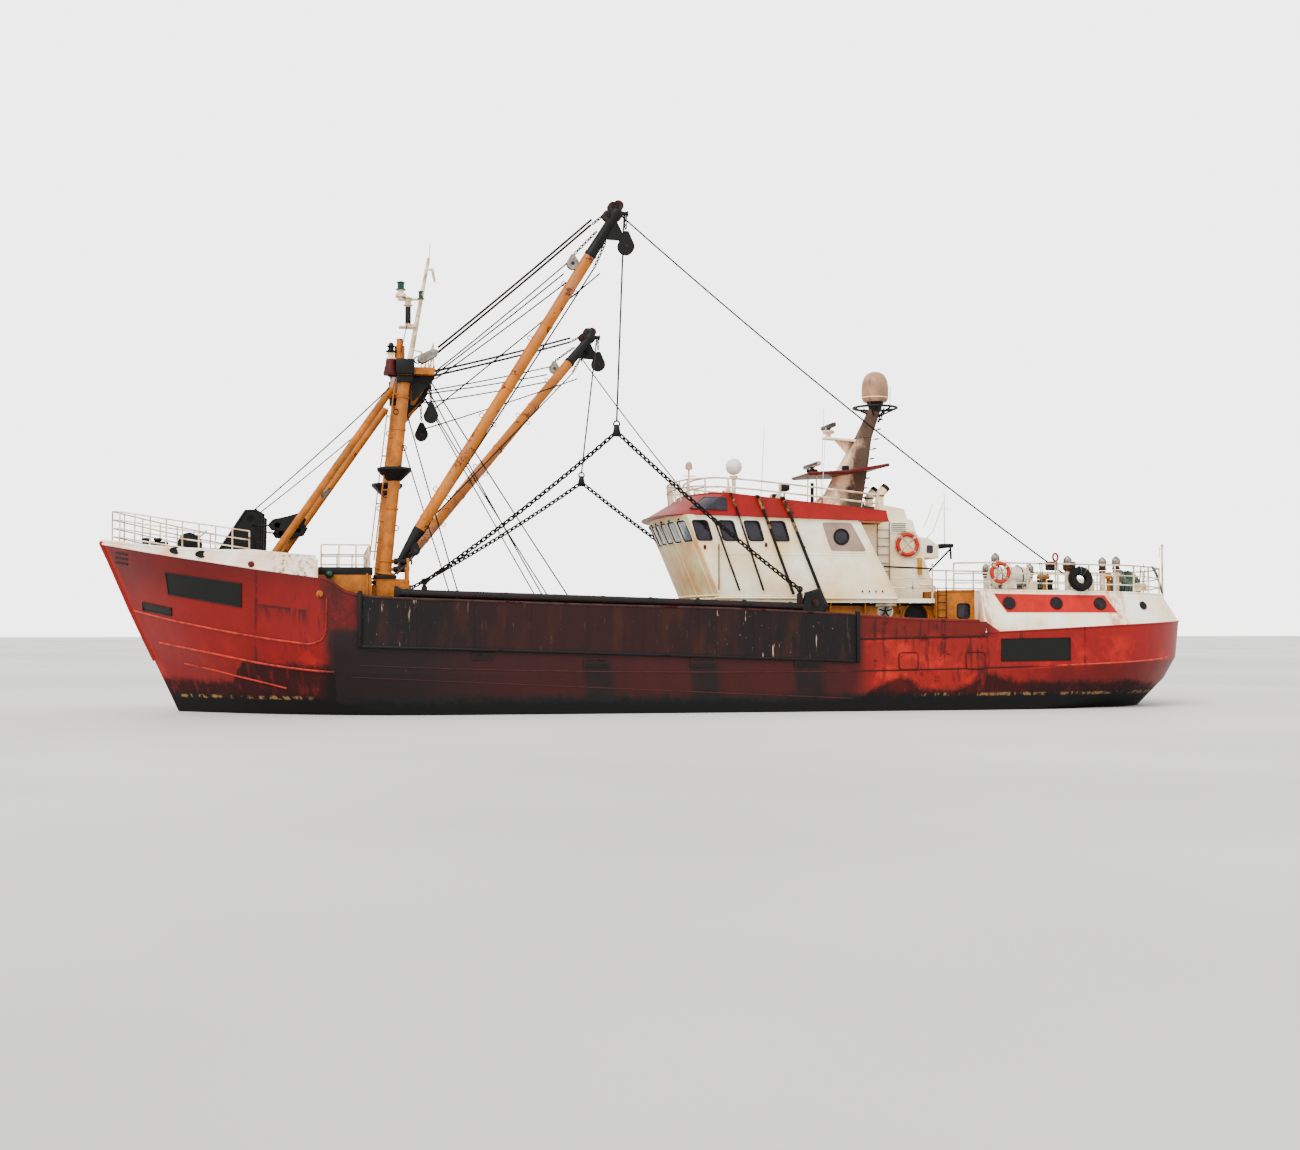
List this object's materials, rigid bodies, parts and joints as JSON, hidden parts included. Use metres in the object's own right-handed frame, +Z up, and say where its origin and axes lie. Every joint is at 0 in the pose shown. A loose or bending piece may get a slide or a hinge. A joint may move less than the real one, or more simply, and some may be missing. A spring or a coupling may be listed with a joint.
{
  "type": "fishing trawler",
  "caption": "Steel beam trawler afloat: high bow, gantry with two topping derricks, deck winch, wheelhouse aft of the working deck with radar mast, raised poop with rounded stern.",
  "frame": {"origin": "amidships on the centreline, at the waterline", "axes": "+X aft from bow to stern, +Y to starboard, +Z up"},
  "size_m": [32.04, 11.4483, 17.3042],
  "materials": {
    "hull_red": "orange-red hull paint, weathered",
    "rust_brown": "bare and rusted heavy steel",
    "ochre": "ochre yellow paint",
    "cream": "off-white paint with rust runs",
    "roof_red": "bright red paint",
    "black": "black paint",
    "steel": "worn steel",
    "galvanised": "galvanised tube",
    "window_glass": "tinted window glass",
    "life_red": "orange-red foam plastic",
    "rubber": "old tyre rubber",
    "bronze": "cast bronze",
    "deck_green": "green deck paint",
    "engine_grey": "grey machinery paint",
    "seat_black": "black console and seat"
  },
  "bodies": {
    "boat": {"beam_bridle_port": "steel", "beam_bridle_starboard": "steel", "boat_deck": "deck_green", "bow_band": "cream", "bow_gallows": "black", "bow_rail": "galvanised", "bulwark_port": "hull_red", "bulwark_starboard": "hull_red", "casing": "cream", "deckhouse": "ochre", "deckhouse_after": "ochre", "doubler_port": "rust_brown", "doubler_starboard": "rust_brown", "engine": "engine_grey", "forecastle": "hull_red", "forecastle_house": "ochre", "gantry_column_port": "ochre", "gantry_column_starboard": "ochre", "gantry_head": "ochre", "gantry_prop_port": "ochre", "gantry_prop_starboard": "ochre", "hatch_coaming": "steel", "helm_console": "seat_black", "helm_seat": "seat_black", "hull": "hull_red", "lifebuoy_casing": "life_red", "lifebuoy_poop": "life_red", "light_mast": "cream", "poop_house": "cream", "poop_rail": "cream", "radar_mast": "cream", "radome": "cream", "raft_canister": "cream", "roof_rail": "cream", "small_dome": "cream", "stern_plating": "hull_red", "trawl_beam_port": "rust_brown", "trawl_beam_starboard": "rust_brown", "tyre_fender": "rubber", "wheelhouse_aft": "cream", "wheelhouse_front": "cream", "wheelhouse_glass": "window_glass", "wheelhouse_roof": "roof_red", "wheelhouse_side_port": "cream", "wheelhouse_side_starboard": "cream", "winch_frame": "steel", "windlass": "black"},
    "port_derrick": {"derrick_port": "ochre"},
    "port_block": {"derrick_block_port": "black"},
    "starboard_derrick": {"derrick_starboard": "ochre"},
    "starboard_block": {"derrick_block_starboard": "black"},
    "rudder_blade": {"rudder": "rust_brown"},
    "screw": {"propeller": "bronze"},
    "radar_upper": {"scanner_upper": "cream"},
    "radar_lower": {"scanner_lower": "cream"},
    "port_drum": {"winch_drum_port": "steel"},
    "starboard_drum": {"winch_drum_starboard": "steel"},
    "hatch_cover": {"hatch_lid": "galvanised"},
    "house_door": {"deckhouse_door": "black"},
    "bridge_door": {"wheelhouse_door": "cream"}
  },
  "joints": [
    {"name": "port_derrick_topping", "type": "hinge", "parent": "boat", "child": "port_derrick", "pos_m": [-8.33, -2.7, 4.15], "axis": [1, 0, 0], "range_deg": [-4, 78]},
    {"name": "starboard_derrick_topping", "type": "hinge", "parent": "boat", "child": "starboard_derrick", "pos_m": [-8.13, 2.7, 4.12], "axis": [-1, 0, 0], "range_deg": [-33, 49]},
    {"name": "port_block_hang", "type": "hinge", "parent": "port_derrick", "child": "port_block", "pos_m": [-2.09163, -2.90513, 13.94272], "axis": [1, 0, 0], "range_deg": [-78, 4]},
    {"name": "starboard_block_hang", "type": "hinge", "parent": "starboard_derrick", "child": "starboard_block", "pos_m": [-1.21634, 7.36086, 12.22549], "axis": [-1, 0, 0], "range_deg": [-49, 33]},
    {"name": "rudder_turn", "type": "hinge", "parent": "boat", "child": "rudder_blade", "pos_m": [12.5, 0, -2], "axis": [0, 0, 1], "range_deg": [-35, 35]},
    {"name": "propeller_turn", "type": "hinge", "parent": "boat", "child": "screw", "pos_m": [11.5, 0, -2.05], "axis": [1, 0, 0], "continuous": true},
    {"name": "radar_upper_turn", "type": "hinge", "parent": "boat", "child": "radar_upper", "pos_m": [4.68, 0, 8.4], "axis": [0, 0, 1], "continuous": true},
    {"name": "radar_lower_turn", "type": "hinge", "parent": "boat", "child": "radar_lower", "pos_m": [4.16, 0, 7.21], "axis": [0, 0, 1], "continuous": true},
    {"name": "port_drum_turn", "type": "hinge", "parent": "boat", "child": "port_drum", "pos_m": [-6.3, -1, 1.88], "axis": [0, 1, 0], "continuous": true},
    {"name": "starboard_drum_turn", "type": "hinge", "parent": "boat", "child": "starboard_drum", "pos_m": [-6.3, 1, 1.88], "axis": [0, 1, 0], "continuous": true},
    {"name": "hatch_cover_hinge", "type": "hinge", "parent": "boat", "child": "hatch_cover", "pos_m": [-1.65, 0, 1.76], "axis": [0, 1, 0], "range_deg": [0, 100]},
    {"name": "house_door_hinge", "type": "hinge", "parent": "boat", "child": "house_door", "pos_m": [6.86, -2.495, 2.05], "axis": [0, 0, 1], "range_deg": [0, 110]},
    {"name": "bridge_door_hinge", "type": "hinge", "parent": "boat", "child": "bridge_door", "pos_m": [4.725, -1.92, 4.2], "axis": [0, 0, 1], "range_deg": [0, 90]}
  ],
  "couplings": [
    {"joint": "port_block_hang", "follows": "port_derrick_topping", "ratio": -1},
    {"joint": "starboard_block_hang", "follows": "starboard_derrick_topping", "ratio": -1}
  ]
}
